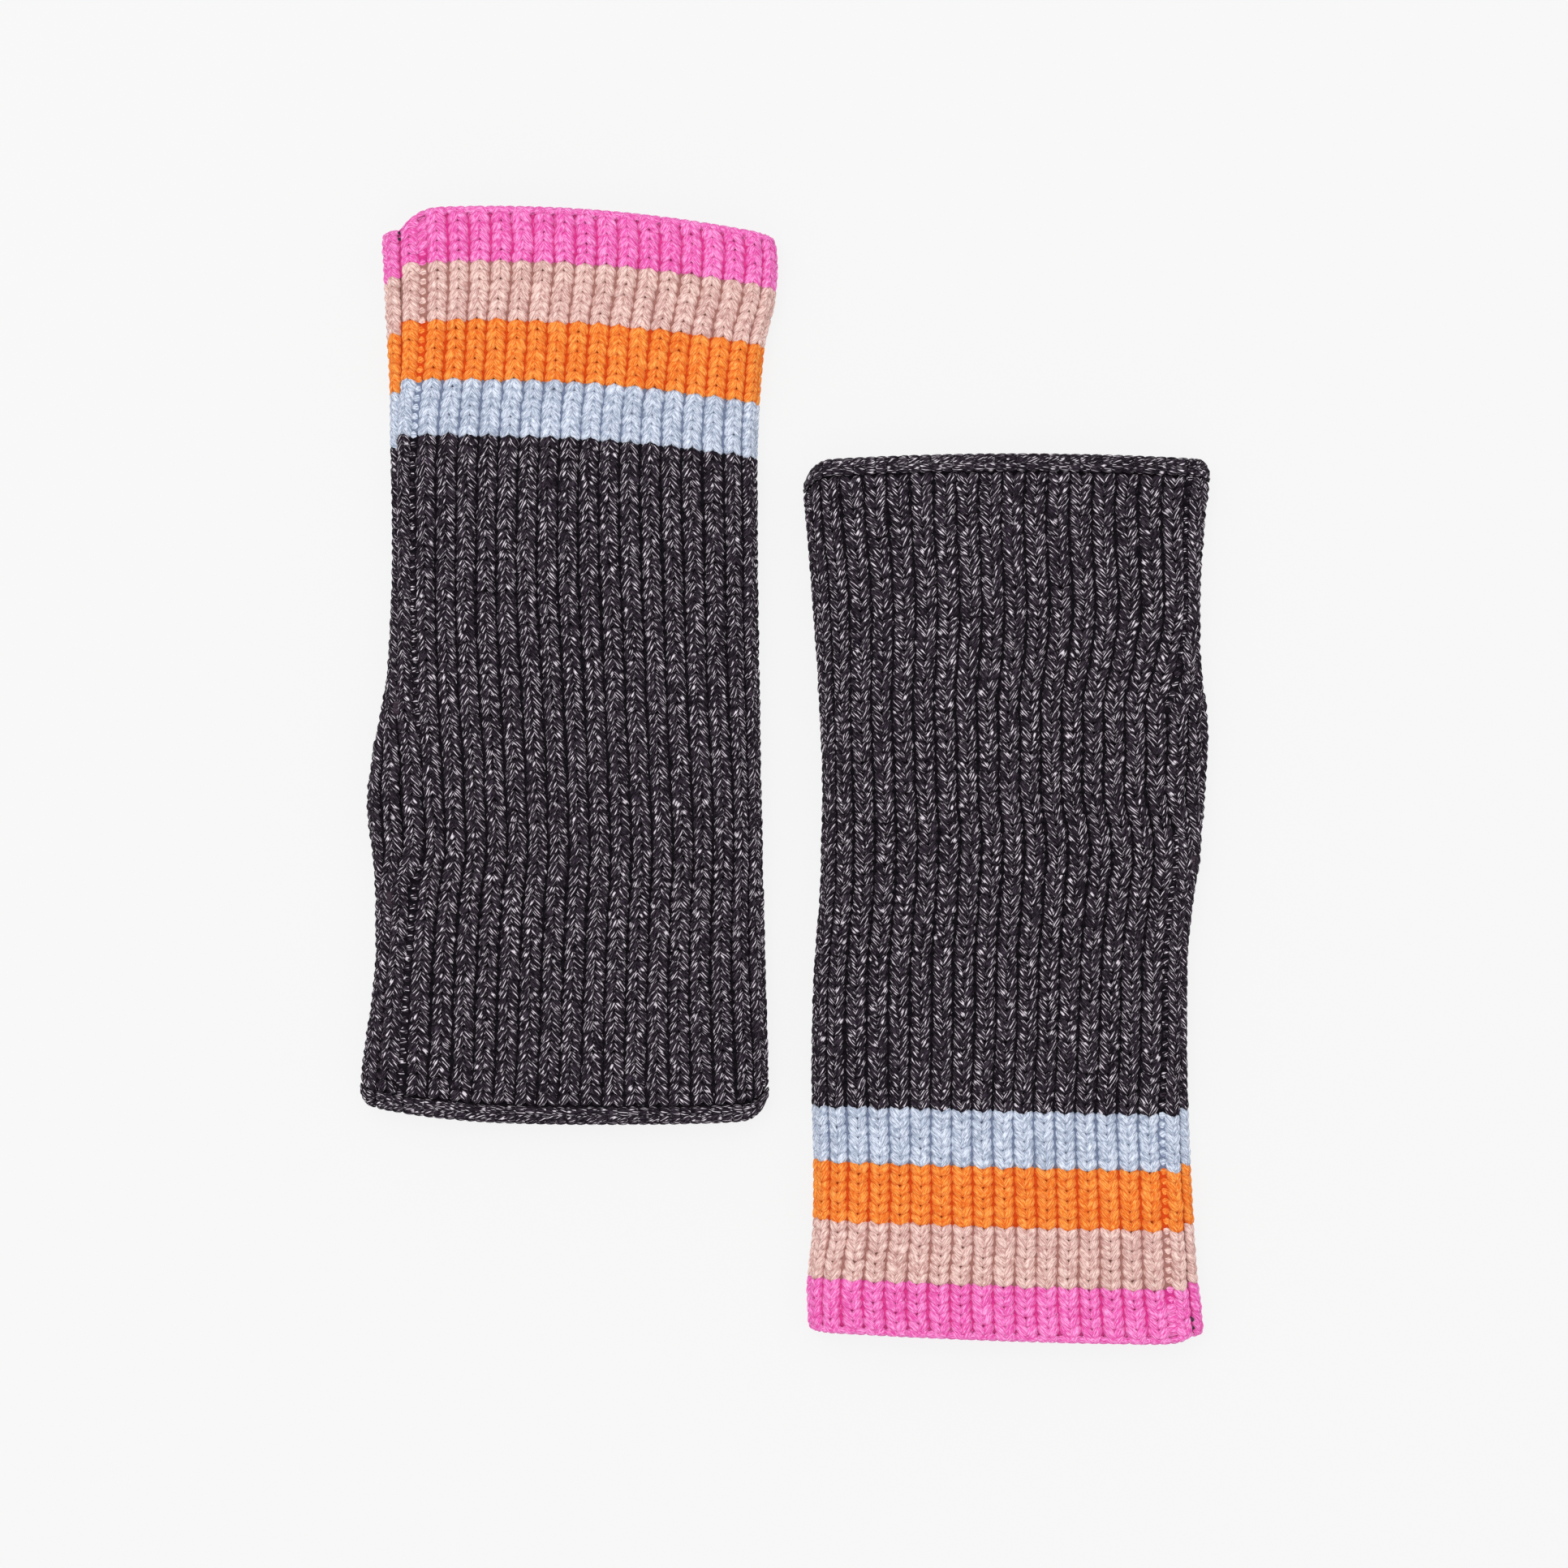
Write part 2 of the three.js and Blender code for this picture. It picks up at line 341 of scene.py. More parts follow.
def readTemplate(strand):
    mesh = strand.data
    points = np.array([v.co[:] for v in mesh.vertices])
    loops = np.array([l.vertex_index for l in mesh.loops])
    starts = np.array([p.loop_start for p in mesh.polygons])
    uv = np.array([d.uv[:] for d in mesh.uv_layers.active.data])
    bpy.data.objects.remove(strand)
    return {"points": points, "loops": loops, "starts": starts, "uv": uv}


leg = readTemplate(modelStrand("stitchLeg"))
print("stitch leg:", len(leg["points"]), "points,", len(leg["starts"]), "faces")


def makeMesh(name, points, loops, starts, uv):
    mesh = bpy.data.meshes.new(name)
    mesh.vertices.add(len(points))
    mesh.vertices.foreach_set("co", points.astype(np.float32).ravel())
    mesh.loops.add(len(loops))
    mesh.loops.foreach_set("vertex_index", loops.astype(np.int32))
    mesh.polygons.add(len(starts))
    mesh.polygons.foreach_set("loop_start", starts.astype(np.int32))
    mesh.update(calc_edges=True)
    mesh.validate()
    layer = mesh.uv_layers.new(name="UVMap")
    layer.data.foreach_set("uv", uv.astype(np.float32).ravel())
    mesh.polygons.foreach_set("use_smooth", np.ones(len(starts), bool))
    piece = bpy.data.objects.new(name, mesh)
    scene.collection.objects.link(piece)
    return piece


# Ribbing, and the height of every length of yarn

rib = {
    "angle": 55,            # of each leg, from straight across
    "long": 1.98,           # half sizes of a leg
    "wide": 0.93,
    "thick": 0.62,
    "fromMiddle": 1.1,      # from a column's middle to each leg's
    "dip": 0.34,            # how far a leg's ends sink
    "crest": 0.68,          # how round a column is across, in the cuff
    "handCrest": 0.8,       # and in the hand, where the ribs stand out more
    "halfWale": 2.5,
    "flatTop": 0.36,        # share of a column's half width that doesn't fall away
    "jitter": 0.09,         # unevenness of place, lean in degrees, size and lift
    "tilt": 2.5,
    "sizeSpread": 0.04,
    "liftSpread": 0.05,
    "rimCrest": 0.3,        # share of the crest that is left at the cuff's rim
    "rimReach": 6,
    "uvTurns": 400,         # a leg's pattern is moved by up to this many whole turns
}


# Every length of yarn is one row: its wale, off (across from it), run, angle from straight
# across, half sizes, lift above the outer face, dip of its ends, and its place on the
# column's crest.
def ridge(across):
    past = np.clip(np.abs(across) - rib["flatTop"] * rib["halfWale"], 0, None)
    return past ** 2 * 0.5


def layStitches(name, glove, rows):
    # copies the leg for every row and lays it on the glove's fabric
    count = len(rows["run"])
    row = {k: np.asarray(v, float)[:, None] for k, v in rows.items()}
    a, b, c = (leg["points"][:, k][None, :] for k in range(3))
    cosine, sine = np.cos(row["angle"]), np.sin(row["angle"])
    dx = a * row["long"] * cosine + b * row["wide"] * sine
    dy = a * row["long"] * sine - b * row["wide"] * cosine
    across = row["off"] + dx
    run = row["run"] + dy
    height = row["lift"] + c * row["thick"] - row["dip"] * a * a
    height = height - ridge(row["onWale"] + dx) * row["crest"]
    wale = np.broadcast_to(row["wale"], run.shape)
    arc = arcOf(glove, wale, across, run)
    x, along, z = layGlove(glove, arc, run, height)
    along = along + slipOf(glove, wale, across, run)
    points = toFrame(glove, x, along, z).reshape(-1, 3)
    step = len(leg["points"])
    loops = (leg["loops"][None, :] + step * np.arange(count)[:, None]).ravel()
    loopStep = len(leg["loops"])
    starts = (leg["starts"][None, :] + loopStep * np.arange(count)[:, None]).ravel()
    shift = rng.integers(0, rib["uvTurns"], (count, 2))
    uv = (leg["uv"][None, :, :] + shift[:, None, :]).reshape(-1, 2)
    return makeMesh(name, points, loops, starts, uv)


# Rows of stitches

def emptyRows():
    keys = ("wale", "off", "run", "angle", "long", "wide", "thick", "lift", "dip", "onWale", "crest")
    return {k: [] for k in keys}


def addRow(rows, **values):
    for key, value in values.items():
        rows[key].append(value)


def addLength(rows, shape, wale, off, run, angle, lift):
    # one length of yarn that isn't part of a column
    addRow(rows, wale=wale, off=off, run=run, angle=angle, long=shape["long"], wide=shape["wide"],
           thick=shape["thick"], lift=lift, dip=shape["dip"], onWale=0, crest=0)


def addStitch(rows, wale, off, run, narrow=1.0, lift=0.0, crest=rib["crest"]):
    # both legs of one knit stitch, its point towards the wrist; columns flatten at the cuff's rim
    nudge = rng.normal(0, rib["jitter"], 2)
    flatten = min(1, rib["rimCrest"] + abs(run) / rib["rimReach"])
    size = 1 + rng.normal(0, rib["sizeSpread"])
    for sign in (-1, 1):
        lean = math.radians(rib["angle"] + rng.normal(0, rib["tilt"]))
        angle = lean if sign > 0 else math.pi - lean
        side = sign * rib["fromMiddle"] * narrow
        sunk = lift - rib["thick"] + rng.normal(0, rib["liftSpread"])
        addRow(rows, wale=wale, off=off + side + nudge[0], run=run + nudge[1], angle=angle,
               long=rib["long"] * size * (0.5 + 0.5 * narrow), wide=rib["wide"] * size,
               thick=rib["thick"], lift=sunk, dip=rib["dip"] * flatten, onWale=side,
               crest=crest * flatten)


def waleList():
    # every column's centre but the one beside the seam
    total = int(round(knit["frontWales"] + knit["backWales"]))
    return [k + 0.5 for k in range(total)]


def coursesBetween(low, high, count):
    step = (high - low) / count
    return [low + (k + 0.5) * step for k in range(count)]


def courseRuns(glove):
    # list of (yarn, run) for all courses, from inside the cuff to the finger rib
    step = knit["cuffCourse"]
    at = bands[0][1]
    count = int((at + knit["wristInside"]) / step)
    courses = [("pink", at - (k + 0.5) * step) for k in range(count)]
    for yarn, long in bands[1:]:
        courses += [(yarn, run) for run in coursesBetween(at, at + long, knit["bandCourses"])]
        at += long
    handEnd = gloveLengthOf(glove) - knit["handGap"]
    count = round((handEnd - at) / knit["handCourse"])
    courses += [("charcoal", run) for run in coursesBetween(at, handEnd, count)]
    return courses


def flapAt(glove, run):
    return float(easeBetween(glove["flap"], np.array([run]))[0])


# The bars across the sunk column; there are none where the flap is wider than flapMost
ladderBar = {"off": -0.7, "offSpread": 0.05, "runOn": 1.2, "tilt": 0.12, "long": 1.5, "wide": 1.05,
             "thick": 0.6, "lift": -1.78, "dip": 0.35, "flapMost": 0.6}


def knitGlove(glove):
    # rows for each piece of ribbing
    pieces = {}
    for yarn, run in courseRuns(glove):
        crest = rib["handCrest"] if yarn == "charcoal" else rib["crest"]
        for wale in waleList():
            front = wale < knit["frontWales"]
            name = yarn if yarn != "charcoal" else ("handFront" if front else "handBack")
            lastWale = wale > knit["frontWales"] + knit["backWales"] - 1
            off = knit["lastWaleOff"] if lastWale else 0
            addStitch(pieces.setdefault(name, emptyRows()), wale, off, run, crest=crest)
        rows = pieces[yarn if yarn != "charcoal" else "handFront"]
        flap = flapAt(glove, run)
        addStitch(rows, 0, knit["waleOneOff"] + flap, run, narrow=knit["waleOneNarrow"],
                  lift=knit["flapLift"] * max(flap, 0))
        if flap < ladderBar["flapMost"]:
            off = rng.normal(ladderBar["off"], ladderBar["offSpread"])
            angle = rng.normal(0, ladderBar["tilt"])
            addLength(rows, ladderBar, 0, off, run + ladderBar["runOn"], angle, ladderBar["lift"])
    return pieces


# Materials

def newGroup(name, inputs, outputs):
    group = bpy.data.node_groups.new(name, "ShaderNodeTree")
    for label, kind, default in inputs:
        socket = group.interface.new_socket(name=label, in_out="INPUT", socket_type=kind)
        if default is not None:
            socket.default_value = default
    for label, kind in outputs:
        group.interface.new_socket(name=label, in_out="OUTPUT", socket_type=kind)
    return group, group.nodes.new("NodeGroupInput"), group.nodes.new("NodeGroupOutput")


def mathNode(tree, operation, first, second=None):
    node = tree.nodes.new("ShaderNodeMath")
    node.operation = operation
    for index, value in enumerate((first, second)):
        if value is None:
            continue
        if isinstance(value, (int, float)):
            node.inputs[index].default_value = value
        else:
            tree.links.new(value, node.inputs[index])
    return node.outputs[0]


def mixColour(tree, share, first, second):
    node = tree.nodes.new("ShaderNodeMix")
    node.data_type = "RGBA"
    for label, value in (("Factor", share), ("A", first), ("B", second)):
        if isinstance(value, tuple):
            node.inputs[label].default_value = value
        else:
            tree.links.new(value, node.inputs[label])
    return node.outputs["Result"]


def noiseAt(tree, x, y, steps):
    # steps: how many to one unit of x, how many to one of y, and the detail
    place = tree.nodes.new("ShaderNodeCombineXYZ")
    tree.links.new(mathNode(tree, "MULTIPLY", x, steps[0]), place.inputs[0])
    tree.links.new(mathNode(tree, "MULTIPLY", y, steps[1]), place.inputs[1])
    node = tree.nodes.new("ShaderNodeTexNoise")
    node.noise_dimensions = "2D"
    node.inputs["Scale"].default_value = 1
    node.inputs["Detail"].default_value = steps[2]
    tree.links.new(place.outputs[0], node.inputs["Vector"])
    return node.outputs["Fac"]


def rampValue(tree, value, ends):
    # 0 at the first end and 1 at the second
    low, high = ends
    node = tree.nodes.new("ShaderNodeMapRange")
    node.interpolation_type = "SMOOTHSTEP"
    node.inputs["From Min"].default_value = low
    node.inputs["From Max"].default_value = high
    tree.links.new(value, node.inputs["Value"])
    return node.outputs["Result"]


spin = {
    "plies": 4,
    "twist": 0.12,              # turns of the plies along one leg
    "fibres": (31.3, 4.3, 1),   # noise steps round the yarn, along it, and detail
    "patches": (8.7, 2.1, 1),
    "flecks": (27.6, 2.9, 0),
    "legTone": 0.1,             # shares of a leg's own tone, its patches and its fibres
    "patchTone": 0.15,
    "fibreTone": 0.75,
    "darkEnds": (0.52, 0.38),
    "lightEnds": (0.5, 0.64),
    "fleckEnds": (0.64, 0.78),
    "grooveEnds": (0.5, 0.0),   # between the plies
    "grooveShade": 0.5,
    "outerEnds": (0.58, 0.93),  # painted shade along a leg, darkest at its outer end, where its two ends tuck under its neighbours
    "innerEnds": (0.2, 0.03),
    "innerShade": 0.55,
    "plyHeight": 0.4,
    "fibreHeight": 0.8,
}


def buildYarnGroup():
    # plies, fibres and flecks of a spun yarn, with painted shade in the ply grooves and at each leg's ends;
    # U runs round the strand and V along it
    group, start, end = newGroup(
        "spunYarn",
        [("Along Strand", "NodeSocketVector", None), ("Yarn", "NodeSocketColor", (0.5, 0.5, 0.5, 1)),
         ("Shade", "NodeSocketColor", (0.1, 0.1, 0.1, 1)), ("Light", "NodeSocketColor", (0.9, 0.9, 0.9, 1)),
         ("Fleck", "NodeSocketColor", (1, 1, 1, 1)), ("Fleck Share", "NodeSocketFloat", 0.0),
         ("Heather", "NodeSocketFloat", 0.3), ("Painted End Shade", "NodeSocketFloat", 0.5)],
        [("Colour", "NodeSocketColor"), ("Height", "NodeSocketFloat")])

    def times(value, by):
        return mathNode(group, "MULTIPLY", value, by)

    def plus(value, more):
        return mathNode(group, "ADD", value, more)

    split = group.nodes.new("ShaderNodeSeparateXYZ")
    group.links.new(start.outputs["Along Strand"], split.inputs[0])
    around, along = split.outputs[0], split.outputs[1]
    skewed = plus(around, times(along, spin["twist"]))
    phase = times(skewed, spin["plies"] * 2 * math.pi)
    ply = plus(times(mathNode(group, "COSINE", phase), 0.5), 0.5)
    ply = mathNode(group, "POWER", ply, 0.5)
    fibres = noiseAt(group, skewed, along, spin["fibres"])
    patches = noiseAt(group, skewed, along, spin["patches"])
    flecks = noiseAt(group, skewed, along, spin["flecks"])
    each = group.nodes.new("ShaderNodeTexWhiteNoise")
    each.noise_dimensions = "1D"
    group.links.new(mathNode(group, "FLOOR", around), each.inputs["W"])
    tone = plus(times(each.outputs["Value"], spin["legTone"]), times(patches, spin["patchTone"]))
    tone = plus(tone, times(fibres, spin["fibreTone"]))
    dark = times(rampValue(group, tone, spin["darkEnds"]), start.outputs["Heather"])
    body = mixColour(group, dark, start.outputs["Yarn"], start.outputs["Shade"])
    bright = times(rampValue(group, tone, spin["lightEnds"]), start.outputs["Heather"])
    body = mixColour(group, bright, body, start.outputs["Light"])
    groove = times(rampValue(group, ply, spin["grooveEnds"]), spin["grooveShade"])
    body = mixColour(group, groove, body, start.outputs["Shade"])
    mask = times(rampValue(group, flecks, spin["fleckEnds"]), start.outputs["Fleck Share"])
    body = mixColour(group, mask, body, start.outputs["Fleck"])
    # painted shade: each leg is darkened towards its ends, most at the outer end, where it dips under its
    # neighbours
    place = mathNode(group, "FRACT", along)
    outer = rampValue(group, place, spin["outerEnds"])
    inner = times(rampValue(group, place, spin["innerEnds"]), spin["innerShade"])
    paintedEndShade = times(plus(outer, inner), start.outputs["Painted End Shade"])
    body = mixColour(group, paintedEndShade, body, start.outputs["Shade"])
    height = plus(times(ply, spin["plyHeight"]), times(fibres, spin["fibreHeight"]))
    group.links.new(body, end.inputs["Colour"])
    group.links.new(height, end.inputs["Height"])
    return group


sunk = {"pitch": 2.5, "speckle": (1.6, 2.4, 3), "barShare": 0.25, "maskEnds": (0.35, 0.95)}


def buildCourseGroup():
    # fine bars across the fabric, one for each course, broken up by loose fibres
    group, start, end = newGroup(
        "sunkCourses",
        [("Along Fabric", "NodeSocketVector", None), ("Course Pitch", "NodeSocketFloat", sunk["pitch"])],
        [("Mask", "NodeSocketFloat")])
    split = group.nodes.new("ShaderNodeSeparateXYZ")
    group.links.new(start.outputs["Along Fabric"], split.inputs[0])
    turns = mathNode(group, "DIVIDE", split.outputs[1], start.outputs["Course Pitch"])
    bars = mathNode(group, "SINE", mathNode(group, "MULTIPLY", turns, 2 * math.pi))
    speckle = noiseAt(group, split.outputs[0], split.outputs[1], sunk["speckle"])
    mixed = mathNode(group, "ADD", mathNode(group, "MULTIPLY", bars, sunk["barShare"]), speckle)
    group.links.new(rampValue(group, mixed, sunk["maskEnds"]), end.inputs["Mask"])
    return group


yarnGroup = buildYarnGroup()
courseGroup = buildCourseGroup()


def linear(red, green, blue):
    # a screen colour, given from 0 to 255, as the shader wants it
    def one(v):
        v = v / 255
        return v / 12.92 if v <= 0.04045 else ((v + 0.055) / 1.055) ** 2.4
    return (one(red), one(green), one(blue), 1)


# Each yarn's shade colour is both its dark fibres and the colour of painted shade; its inside colour is the
# yarn darkened as painted shade, for the fabric seen between the ribs
# In each yarn below, the share after heather sets how much painted shade darkens each leg's ends
yarns = {
    "pink": {
        "slot": "pink_yarn",
        "yarn": linear(241, 118, 194),
        "shade": linear(214, 54, 146),
        "light": linear(252, 174, 229),
        "fleck": linear(255, 200, 240),
        "fleckShare": 0.3,
        "heather": 0.75,
        "paintedEndShade": 0.45,
        "inside": linear(214, 60, 140),
    },
    "sand": {
        "slot": "sand_yarn",
        "yarn": linear(229, 190, 183),
        "shade": linear(178, 128, 122),
        "light": linear(252, 225, 216),
        "fleck": linear(255, 238, 228),
        "fleckShare": 0.4,
        "heather": 0.8,
        "paintedEndShade": 0.4,
        "inside": linear(160, 112, 104),
    },
    "orange": {
        "slot": "orange_yarn",
        "yarn": linear(241, 138, 50),
        "shade": linear(220, 84, 22),
        "light": linear(252, 178, 92),
        "fleck": linear(255, 200, 120),
        "fleckShare": 0.3,
        "heather": 0.75,
        "paintedEndShade": 0.45,
        "inside": linear(206, 70, 22),
    },
    "lightBlue": {
        "slot": "light_blue_yarn",
        "yarn": linear(196, 206, 224),
        "shade": linear(128, 140, 164),
        "light": linear(238, 244, 255),
        "fleck": linear(242, 246, 255),
        "fleckShare": 0.4,
        "heather": 0.8,
        "paintedEndShade": 0.4,
        "inside": linear(112, 122, 148),
    },
    "charcoal": {
        "slot": "charcoal_yarn",
        "yarn": linear(40, 32, 42),
        "shade": linear(9, 5, 12),
        "light": linear(68, 59, 70),
        "fleck": linear(238, 229, 238),
        "fleckShare": 0.86,
        "heather": 0.8,
        "paintedEndShade": 0.9,
        "inside": linear(20, 16, 22),
        "shine": 0.08,
        "sheen": 0.1,
    },
    "sewing": {
        "slot": "sewing_yarn",
        "yarn": linear(58, 44, 54),
        "shade": linear(18, 12, 18),
        "light": linear(96, 84, 96),
        "fleck": linear(130, 118, 130),
        "fleckShare": 0.3,
        "heather": 0.4,
        "paintedEndShade": 0.3,
    },
}

yarnFinish = {"rough": 0.92, "shine": 0.2, "sheen": 0.25, "sheenRough": 0.5, "bump": 0.8,
              "bumpDepth": 0.0003}
insideFinish = {"rough": 0.95, "shine": 0.1, "bump": 0.6, "bumpDepth": 0.0005}


def addBump(tree, shader, height, finish):
    bump = tree.nodes.new("ShaderNodeBump")
    bump.inputs["Strength"].default_value = finish["bump"]
    bump.inputs["Distance"].default_value = finish["bumpDepth"]
    tree.links.new(height, bump.inputs["Height"])
    tree.links.new(bump.outputs["Normal"], shader.inputs["Normal"])


def yarnMaterial(name, look):
    material = bpy.data.materials.new(name)
    material.use_nodes = True
    tree = material.node_tree
    shader = tree.nodes["Principled BSDF"]
    shader.inputs["Roughness"].default_value = yarnFinish["rough"]
    shader.inputs["Specular IOR Level"].default_value = look.get("shine", yarnFinish["shine"])
    shader.inputs["Sheen Weight"].default_value = look.get("sheen", yarnFinish["sheen"])
    shader.inputs["Sheen Roughness"].default_value = yarnFinish["sheenRough"]
    shader.inputs["Sheen Tint"].default_value = look["light"]
    strands = tree.nodes.new("ShaderNodeTexCoord")
    spun = tree.nodes.new("ShaderNodeGroup")
    spun.node_tree = yarnGroup
    tree.links.new(strands.outputs["UV"], spun.inputs["Along Strand"])
    for socket, key in (("Yarn", "yarn"), ("Shade", "shade"), ("Light", "light"), ("Fleck", "fleck"),
                        ("Fleck Share", "fleckShare"), ("Heather", "heather"), ("Painted End Shade", "paintedEndShade")):
        spun.inputs[socket].default_value = look[key]
    tree.links.new(spun.outputs["Colour"], shader.inputs["Base Color"])
    addBump(tree, shader, spun.outputs["Height"], yarnFinish)
    return material


def insideMaterial(name, look):
    # the fabric seen between the ribs: the same yarn in shadow, its courses as fine bars
    material = bpy.data.materials.new(name)
    material.use_nodes = True
    tree = material.node_tree
    shader = tree.nodes["Principled BSDF"]
    shader.inputs["Roughness"].default_value = insideFinish["rough"]
    shader.inputs["Specular IOR Level"].default_value = insideFinish["shine"]
    place = tree.nodes.new("ShaderNodeTexCoord")
    bars = tree.nodes.new("ShaderNodeGroup")
    bars.node_tree = courseGroup
    bars.inputs["Course Pitch"].default_value = sunk["pitch"]
    tree.links.new(place.outputs["UV"], bars.inputs["Along Fabric"])
    mask = bars.outputs["Mask"]
    tree.links.new(mixColour(tree, mask, look["inside"], look["shade"]), shader.inputs["Base Color"])
    addBump(tree, shader, mask, insideFinish)
    return material


yarnMaterials = {name: yarnMaterial(name + "Yarn", look) for name, look in yarns.items()}
insideMaterials = {name: insideMaterial(name + "Fabric", look) for name, look in yarns.items()
                   if "inside" in look}
print("materials:", len(bpy.data.materials))


# The plain fabric under the ribs

fabric = {
    "depth": 1.62,          # of its middle, under the outer face
    "thick": 0.9,
    "across": 132,          # faces round the tube
    "runStep": 2.4,
    "seamGap": 0.15,        # on each side of the seam line
    "slitGap": 0.3,
    "slitEase": 5,          # from the seam's gap to the slit's
    "wristInside": 14,      # turned in at the wrist and at the fingers
    "fingersInside": 13,
}


def layFabric(name, glove, low, high):
    # a grid laid round the tube from one side of the seam to the other, then thickened
    rows = max(2, int(round((high - low) / fabric["runStep"])))
    deselectAll()
    bpy.ops.mesh.primitive_grid_add(x_subdivisions=fabric["across"], y_subdivisions=rows, size=2)
    sheet = bpy.context.object
    sheet.name = name
    sheet.data.name = name
    flat = np.array([v.co[:] for v in sheet.data.vertices])
    around, run = (flat[:, 0] + 1) / 2, low + (high - low) * (flat[:, 1] + 1) / 2
    ladder = easeBetween(glove["ladder"], run)
    flap = easeBetween(glove["flap"], run)
    slitFrom, slitTo = glove["slit"]
    inSlit = np.clip(np.minimum(run - slitFrom, slitTo - run) / fabric["slitEase"], 0, 1)
    gap = fabric["seamGap"] + (fabric["slitGap"] - fabric["seamGap"]) * inSlit
    start = ladder + knit["seamOff"] + flap + gap
    end = girth + ladder + knit["seamOff"] + flap - gap
    arc = start + (end - start) * around
    x, along, z = layGlove(glove, arc, run, np.full(len(run), -fabric["depth"]))
    wale = (arc - ladder - knit["ladderHalf"]) / knit["meanPitch"]
    along = along + slipOf(glove, wale, np.zeros(len(run)), run)
    points = toFrame(glove, x, along, z)
    sheet.data.vertices.foreach_set("co", points.astype(np.float32).ravel())
    loops = np.array([l.vertex_index for l in sheet.data.loops])
    uv = np.stack([arc[loops], run[loops]], axis=-1)
    sheet.data.uv_layers.active.data.foreach_set("uv", uv.astype(np.float32).ravel())
    bpy.ops.object.mode_set(mode="EDIT")
    bpy.ops.mesh.select_all(action="SELECT")
    bpy.ops.mesh.flip_normals()
    bpy.ops.object.mode_set(mode="OBJECT")
    thicken = sheet.modifiers.new("thicken", "SOLIDIFY")
    thicken.thickness = fabric["thick"] * mm
    thicken.offset = 0
    bpy.ops.object.modifier_apply(modifier="thicken")
    bpy.ops.object.shade_smooth()
    deselectAll()
    return sheet


# Moving with the frame, for pieces on the cuff or hand; the rest are only baked in place


def moveWithFold(piece):
    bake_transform(piece)


def handOver(side, piece, rides, nodes=()):
    # rides: the glove's cuff or hand; a piece marked fold lies across both but is only baked in place,
    # attached to neither
    if rides == "fold":
        moveWithFold(piece)
    else:
        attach(piece, side + "_" + rides)
    if nodes:
        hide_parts(*[side + "_" + node for node in nodes])


# Building both gloves

# Each piece of ribbing: its title, yarn, what it rides and the node it stands for
ribPieces = {
    "pink": ("PinkRibs", "pink", "cuff", ["pink_band"]),
    "sand": ("SandRibs", "sand", "cuff", ["sand_band"]),
    "orange": ("OrangeRibs", "orange", "fold", ["orange_band"]),
    "lightBlue": ("LightBlueRibs", "lightBlue", "fold", ["light_blue_band"]),
    "handFront": ("HandFrontRibs", "charcoal", "fold", ["hand_panel"]),
    "handBack": ("HandBackRibs", "charcoal", "fold", ["hand_panel"]),
}

chain = {
    "pitch": 2.4,
    "fingerLevels": (3.1, 1.15, -0.8),    # rows of the bound-off edge, from the opening
    "wristLevels": (0.4, -1),
    "lean": 16,
    "long": 1.65,
    "wide": 0.95,
    "thick": 0.64,
    "sink": 0.05,
    "dip": 0.12,
    "leanSpread": 3,
    "offSpread": 0.08,
    "runSpread": 0.05,
    "cornerLinks": 3,       # between the sunk column and the seam
    "cornerStep": 2,        # from each of them to the next
    "cornerShort": 0.85,
}


def edgeRows(levels, runAt):
    # rows of flat links round an opening, leaning one way and the other by turns
    rows = emptyRows()
    lift = -chain["thick"] - chain["sink"]
    count = int(round(girth / chain["pitch"]))
    leans = [chain["lean"] * (1 if row % 2 == 0 else -1) for row in range(len(levels))]
    for k in range(count):
        wale = (knit["frontWales"] + knit["backWales"]) * (k + 0.5) / count
        for level, lean in zip(levels, leans):
            angle = math.radians(lean + rng.normal(0, chain["leanSpread"]))
            off = rng.normal(0, chain["offSpread"])
            run = runAt(level) + rng.normal(0, chain["runSpread"])
            addLength(rows, chain, wale, off, run, angle, lift)
    short = dict(chain, long=chain["long"] * chain["cornerShort"])
    for k in range(chain["cornerLinks"]):
        for level, lean in zip(levels, leans):
            off = -chain["cornerStep"] * (k + 0.5)
            addLength(rows, short, 0, off, runAt(level), math.radians(lean), lift)
    return rows


def castOnWrist(side, glove):
    rows = edgeRows(chain["wristLevels"], lambda level: level)
    return layStitches(side + "CuffEdge", glove, rows)


# The ribs that go on inside the finger opening
openingRibs = {"start": 3.4, "end": 12, "pitch": 2.5, "narrow": 0.8}


def finishFingers(side, glove):
    # bound-off chain round the finger opening, and the ribs just inside it
    length = gloveLengthOf(glove)
    rows = edgeRows(chain["fingerLevels"], lambda level: length - level)
    run = length + openingRibs["start"]
    while run < length + openingRibs["end"]:
        for wale in waleList():
            addStitch(rows, wale, 0, run)
        addStitch(rows, 0, knit["waleOneOff"], run, narrow=openingRibs["narrow"])
        run += openingRibs["pitch"]
    return layStitches(side + "FingerChain", glove, rows)


sewing = {
    "pitch": 2.5,
    "long": 1.15,
    "wide": 0.42,
    "thick": 0.4,
    "dip": 0.3,
    "off": -0.6,            # beside the seam line
    "offSpread": 0.05,
    "lean": 28,
    "leanSpread": 5,
    "start": 0.6,           # clear of the wrist, the fingers and the slit
    "endGap": 1,
    "slitGap": 3,
    "rimReach": 8,
    "rimLift": -0.9,        # how high it lies at the wrist's rim, in the cuff and in the hand
    "cuffLift": -1.9,
    "handLift": -1.4,
}


